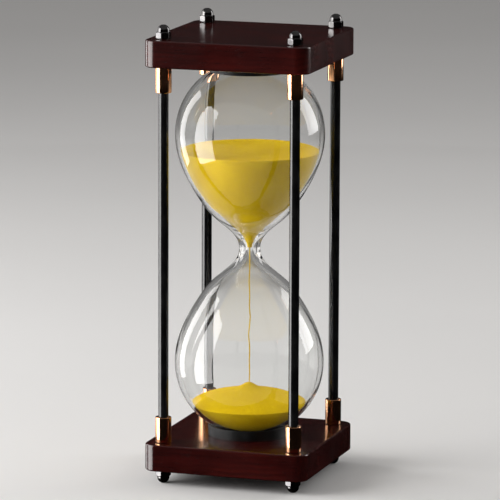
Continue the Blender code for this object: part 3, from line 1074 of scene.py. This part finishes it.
def make_rose_brass():
    """Polished brass: fine rings left by the lathe, and a slightly deeper tone in patches."""
    material, tree, shader, where = new_material("rose_brass", Metallic=1.0)
    marks = marks_on(tree, where, smudge_size=0.005, speck_size=0.0008)
    tone = spread(tree, noise_at(tree, where, TONE_SIZE, 3.0), 0.35, 0.7, 0, 0.6)
    tree.links.new(mixed(tree, tone, ROSE_BRASS, DEEP_BRASS), shader.inputs["Base Color"])
    rough = worn_gloss(tree, marks, clean=0.09, smudged=0.17, scratched=0.08)
    tree.links.new(rough, shader.inputs["Roughness"])
    rings = noise_at(tree, where, LATHE_MARK_SIZE, 2.0, (400, 400, 1))
    bumped(tree, shader, rings, LATHE_MARK_DEPTH)
    return material


rose_brass = make_rose_brass()
ferrule_low, ferrule_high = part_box("ferrule_lower_front_left")
ferrule_length = ferrule_high.z - ferrule_low.z
foot_centre = (FERRULE_RADIUS - FERRULE_FOOT_EDGE, FERRULE_FOOT_EDGE)
outline = [(FERRULE_BORE, 0)]
outline += arc(foot_centre, FERRULE_FOOT_EDGE, 270, 360, 3)
rim_outside = (FERRULE_RADIUS - FERRULE_EDGE, ferrule_length - FERRULE_EDGE)
rim_inside = (FERRULE_BORE + FERRULE_FOOT_EDGE, ferrule_length - FERRULE_FOOT_EDGE)
outline += arc(rim_outside, FERRULE_EDGE, 0, 90, 6)
outline += arc(rim_inside, FERRULE_FOOT_EDGE, 90, 180, 3)
for corner, (x, y) in corners.items():
    for level, place, turned_over in (
        ("lower", (x, y, ferrule_low.z), False),
        ("upper", (x, y, top_low.z - FIT), True),
    ):
        name = f"ferrule_{level}_{corner}"
        ferrule = turned("brass_" + name, outline, place, rose_brass, FERRULE_STEPS, turned_over)
        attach(ferrule, "root")
        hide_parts(name)

# ---- Nuts ----------------------------------------------------------------------------------
# Eight acorn nuts in bright black nickel: four on the top plate, and four under the base plate,
# where their domes are the feet. The hexagon is chamfered on the lathe, and the dome is a ball.
NUT_ACROSS_FLATS = 0.008
NUT_HEX_HEIGHT = 0.0038
NUT_DOME_RADIUS = 0.0036
NUT_TIP_RADIUS = 0.0012
NUT_NECK_ROUND = 0.0003  # between the hexagon's face and the dome
NUT_CHAMFER_SLOPE = math.radians(30)
NUT_BORE_RADIUS = 0.0028
NUT_BORE_DEPTH = 0.0055
NUT_STEPS = 144
HEX_LEVELS = 16
DOME_LEVELS = 18
EDGE_CRISPNESS = 90  # the higher, the sharper the worn edges
PLATING_RIPPLE_SIZE = 0.0009
PLATING_RIPPLE_DEPTH = 0.00001
BLACK_NICKEL = (0.085, 0.083, 0.085, 1)
RUBBED_NICKEL = (0.16, 0.155, 0.15, 1)


def make_black_nickel():
    """Bright black nickel: the plating ripples slightly, and is paler where fingers rubbed it."""
    material, tree, shader, where = new_material("black_nickel", Metallic=1.0)
    marks = marks_on(tree, where, smudge_size=0.004, speck_size=0.0008)
    rubbed = sum_of(tree, marks["Smudges"], 0.5, "MULTIPLY")
    colour = mixed(tree, rubbed, BLACK_NICKEL, RUBBED_NICKEL)
    tree.links.new(colour, shader.inputs["Base Color"])
    rough = worn_gloss(tree, marks, clean=0.05, smudged=0.13, scratched=0.08)
    tree.links.new(rough, shader.inputs["Roughness"])
    ripple = noise_at(tree, where, PLATING_RIPPLE_SIZE, 2.0)
    bumped(tree, shader, ripple, PLATING_RIPPLE_DEPTH)
    return material


def nut_reach(angle, height):
    """How far the hexagon's side is from the axis: flats and chamfers with softly worn edges."""
    flat = NUT_ACROSS_FLATS / 2
    cuts = [math.cos(angle - math.radians(60 * side)) / flat for side in range(6)]
    nearest_face = min(height, NUT_HEX_HEIGHT - height)
    cuts.append(1 / (flat + nearest_face / math.tan(NUT_CHAMFER_SLOPE)))
    return sum(max(cut, 0) ** EDGE_CRISPNESS for cut in cuts) ** (-1 / EDGE_CRISPNESS)


def nut_levels(nut_height):
    """The nut's outline from its bore to its tip. None as radius means the hexagon's side."""
    levels = [(0, NUT_BORE_DEPTH), (NUT_BORE_RADIUS, NUT_BORE_DEPTH), (NUT_BORE_RADIUS, 0)]
    for level in range(HEX_LEVELS + 1):
        levels.append((None, NUT_HEX_HEIGHT * (1 - math.cos(math.pi * level / HEX_LEVELS)) / 2))
    neck_centre = (NUT_DOME_RADIUS + NUT_NECK_ROUND, NUT_HEX_HEIGHT + NUT_NECK_ROUND)
    levels += [tuple(point) for point in arc(neck_centre, NUT_NECK_ROUND, 270, 180, 4)]
    dome_centre = nut_height - math.sqrt(NUT_DOME_RADIUS**2 - NUT_TIP_RADIUS**2)
    last = math.degrees(math.acos(NUT_TIP_RADIUS / NUT_DOME_RADIUS))
    levels += [tuple(p) for p in arc((0, dome_centre), NUT_DOME_RADIUS, 0, last, DOME_LEVELS)]
    return levels + [(0, nut_height)]


def make_nut(name, levels, place, turned_over, finish):
    """A nut made of one ring of points for each level of its outline."""
    bm = bmesh.new()
    rings = []
    for radius, height in levels:
        ring = []
        for step in range(NUT_STEPS):
            angle = math.tau * step / NUT_STEPS
            reach = nut_reach(angle, height) if radius is None else radius
            ring.append(bm.verts.new((reach * math.cos(angle), reach * math.sin(angle), height)))
        rings.append(ring)
    for lower, upper in zip(rings, rings[1:]):
        for step in range(NUT_STEPS):
            after = (step + 1) % NUT_STEPS
            bm.faces.new((lower[step], lower[after], upper[after], upper[step]))
    over = Matrix.Rotation(math.pi if turned_over else 0, 4, "X")
    bmesh.ops.transform(bm, matrix=Matrix.Translation(place) @ over, verts=bm.verts)
    return new_piece(name, bm, finish, sharp_angle=50)


black_nickel = make_black_nickel()
nut_low, nut_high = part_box("top_nut_front_left")
levels = nut_levels(nut_high.z - nut_low.z)
for corner, (x, y) in corners.items():
    for level, place, turned_over in (
        ("top", (x, y, nut_low.z), False),
        ("foot", (x, y, base_low.z - FIT), True),
    ):
        name = f"{level}_nut_{corner}"
        nut = make_nut("nickel_" + name, levels, place, turned_over, black_nickel)
        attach(nut, "root")
        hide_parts(name)
